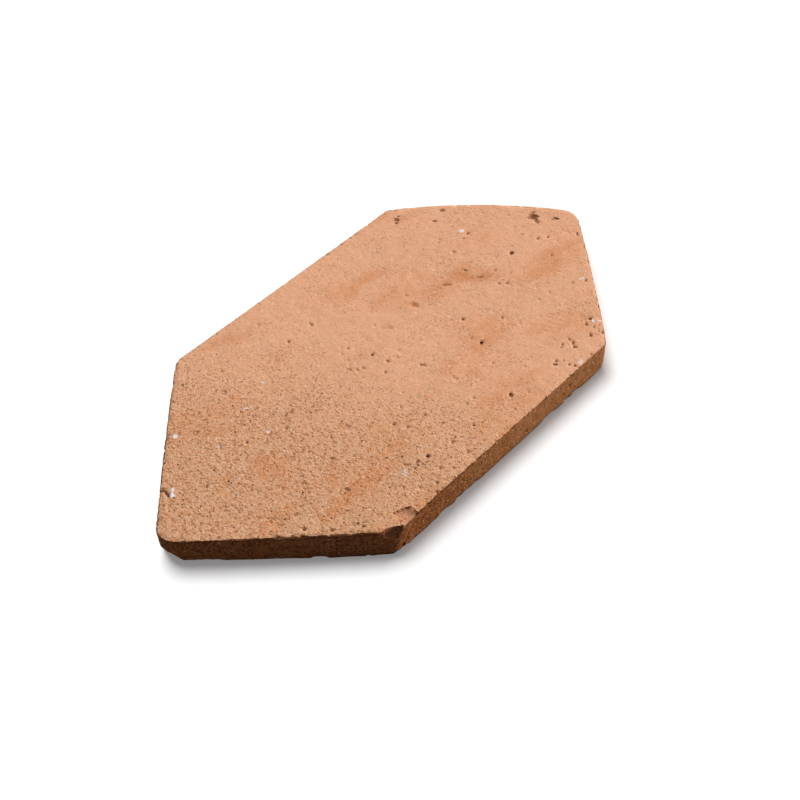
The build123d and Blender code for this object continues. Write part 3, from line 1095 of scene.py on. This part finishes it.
def hang_lamp(context, name, energy, lit):
    """A far lamp that shines on one object alone, from the way that its row gives. Other objects still
    throw their shadow in its light."""
    towards, spread = LAMPS[name]
    lamp = bpy.data.lights.new(name, "SUN")
    lamp.energy = energy
    lamp.angle = radians(spread)
    holder = placed(context, name, lamp)
    holder.rotation_euler = Vector(towards).to_track_quat("Z", "Y").to_euler()
    receivers = bpy.data.collections.new("lit_by_" + name)
    receivers.objects.link(lit)
    holder.light_linking.receiver_collection = receivers


def set_camera(context, studio):
    """The camera at its distance and angles from the point on the face that it looks at."""
    level = Vector((-sin(studio.azimuth), cos(studio.azimuth), 0))
    ahead = level * cos(studio.elevation) - Vector((0, 0, sin(studio.elevation)))
    right = level.cross(Vector((0, 0, 1)))
    up = right.cross(ahead)
    leaning_right = right * cos(studio.roll) + up * sin(studio.roll)
    leaning_up = up * cos(studio.roll) - right * sin(studio.roll)
    aim = Vector((studio.aim_x, studio.aim_y, THICKNESS * MM))
    turned = Matrix((leaning_right, leaning_up, -ahead)).transposed().to_4x4()
    lens = bpy.data.cameras.new("camera")
    lens.lens = studio.lens
    lens.clip_start = CLIP_START
    camera = placed(context, "camera", lens)
    camera.matrix_world = Matrix.Translation(aim - ahead * studio.distance) @ turned
    context.scene.camera = camera


class TERRACOTTA_OT_set_studio(Operator):
    """Lay the floor, hang the lamps and set the camera"""

    bl_idname = "terracotta.set_studio"
    bl_label = "Set Studio"

    def execute(self, context):
        studio = context.scene.studio
        tile = bpy.data.objects["pressed_tile"]
        floor = lay_floor(context, studio)
        light_world(context, studio)
        hang_lamp(context, "key", studio.key, tile)
        hang_lamp(context, "side", studio.side, tile)
        hang_lamp(context, "floor_lamp", studio.floor, floor)
        set_camera(context, studio)
        context.scene.view_settings.view_transform = "Standard"
        return {"FINISHED"}


class TERRACOTTA_PT_tile(Panel):
    """The tile's sizes, colours and studio"""

    bl_idname = "TERRACOTTA_PT_tile"
    bl_label = "Terracotta Tile"
    bl_space_type = "VIEW_3D"
    bl_region_type = "UI"
    bl_category = "Terracotta"

    def draw(self, context):
        steps = [
            ("tile_form", None),
            ("fired_clay", TERRACOTTA_OT_press_tile),
            ("studio", TERRACOTTA_OT_set_studio),
        ]
        for group_name, operator in steps:
            box = self.layout.box()
            group = getattr(context.scene, group_name)
            for name in group.__annotations__:
                box.prop(group, name)
            if operator:
                box.operator(operator.bl_idname)


GROUPS = {"tile_form": TileForm, "fired_clay": FiredClay, "studio": Studio}
CLASSES = (*GROUPS.values(), TERRACOTTA_OT_press_tile, TERRACOTTA_OT_set_studio, TERRACOTTA_PT_tile)


def register():
    """Registers the classes, and gives each scene their properties."""
    for kind in CLASSES:
        bpy.utils.register_class(kind)
    for name, group in GROUPS.items():
        setattr(bpy.types.Scene, name, PointerProperty(type=group))


def unregister():
    """Takes back what register gave."""
    for name in GROUPS:
        delattr(bpy.types.Scene, name)
    for kind in reversed(CLASSES):
        bpy.utils.unregister_class(kind)


def main():
    register()
    bpy.ops.terracotta.press_tile()
    bpy.ops.terracotta.set_studio()


if __name__ == "__main__":
    main()
